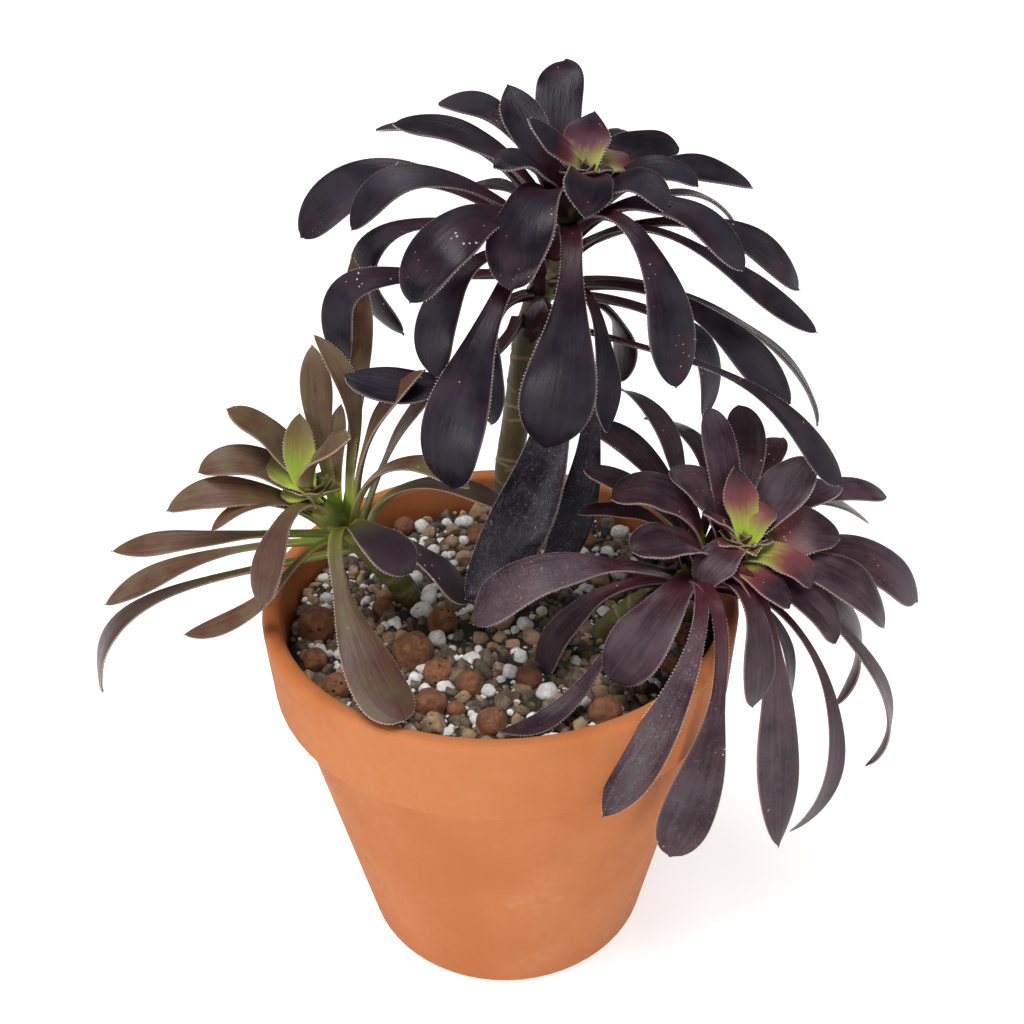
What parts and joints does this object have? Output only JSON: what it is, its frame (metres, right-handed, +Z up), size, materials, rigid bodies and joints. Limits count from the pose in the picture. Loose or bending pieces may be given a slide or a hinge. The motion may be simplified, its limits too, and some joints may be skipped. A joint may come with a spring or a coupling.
{
  "type": "potted aeonium",
  "caption": "Dark-leaved branching aeonium with three leaf rosettes on bare stems, rooted in grit in a round tapered terracotta pot.",
  "frame": {"origin": "on the pot's axis where its base meets the ground, which is mid-way under the whole plant", "axes": "+Z up along the pot's axis, -Y towards the front with the two low rosettes to either side, +X to the right-hand rosette"},
  "size_m": [0.2788, 0.1618, 0.297],
  "materials": {
    "terracotta": "unglazed fired earthenware, matt, faint pale bloom",
    "soil": "damp dark potting mix",
    "grit": "loose white, tan and grey grit and pumice, rough",
    "fired_clay": "rough porous red-brown fired clay",
    "stem": "olive green going grey-brown at the foot, ringed by leaf scars",
    "heart": "fresh green waxy growing tip",
    "leaf_black": "near-black purple leaf, satin wax, red stalk",
    "leaf_bronze": "bronze-brown leaf, satin wax, green at the foot",
    "leaf_purple": "dark purple leaf, satin wax, green at the foot"
  },
  "bodies": {
    "root": {"clay_ball_1": "fired_clay", "clay_ball_2": "fired_clay", "clay_ball_3": "fired_clay", "clay_ball_4": "fired_clay", "clay_ball_5": "fired_clay", "grit_layer": "grit", "heart_left": "heart", "heart_right": "heart", "heart_top": "heart", "leaf_left_front_down": "leaf_bronze", "leaf_left_front_left": "leaf_bronze", "leaf_left_front_right": "leaf_bronze", "leaf_left_left": "leaf_bronze", "leaf_left_left_low": "leaf_bronze", "leaf_left_left_lowest": "leaf_bronze", "leaf_left_left_upper": "leaf_bronze", "leaf_left_right_arch": "leaf_bronze", "leaf_left_right_up": "leaf_bronze", "leaf_left_tall_back": "leaf_bronze", "leaf_left_tall_right": "leaf_bronze", "leaf_left_up_left": "leaf_bronze", "leaf_right_back_dark": "leaf_purple", "leaf_right_back_up": "leaf_purple", "leaf_right_far_right_arc": "leaf_purple", "leaf_right_far_right_back": "leaf_purple", "leaf_right_front_drop": "leaf_purple", "leaf_right_front_drop_left": "leaf_purple", "leaf_right_front_drop_right": "leaf_purple", "leaf_right_front_left_broad": "leaf_purple", "leaf_right_left_behind": "leaf_purple", "leaf_right_left_broad": "leaf_purple", "leaf_right_left_front_long": "leaf_purple", "leaf_right_left_upper": "leaf_purple", "leaf_right_right_dark": "leaf_purple", "leaf_right_right_low": "leaf_purple", "leaf_right_upright_right": "leaf_purple", "leaf_top_back_point": "leaf_black", "leaf_top_back_right": "leaf_black", "leaf_top_back_tall": "leaf_black", "leaf_top_far_left": "leaf_black", "leaf_top_front_centre_long": "leaf_black", "leaf_top_front_left_broad": "leaf_black", "leaf_top_hanging": "leaf_black", "leaf_top_left_droop": "leaf_black", "leaf_top_left_front_broad": "leaf_black", "leaf_top_left_front_long": "leaf_black", "leaf_top_left_hook": "leaf_black", "leaf_top_left_long": "leaf_black", "leaf_top_right": "leaf_black", "leaf_top_right_arc": "leaf_black", "leaf_top_right_droop": "leaf_black", "leaf_top_right_front_droop": "leaf_black", "leaf_top_right_lowest": "leaf_black", "leaf_top_right_outer": "leaf_black", "leaf_top_upper_left": "leaf_black", "pot": "terracotta", "soil_mix": "soil", "stem_left": "stem", "stem_right": "stem", "stem_top": "stem"}
  },
  "joints": []
}
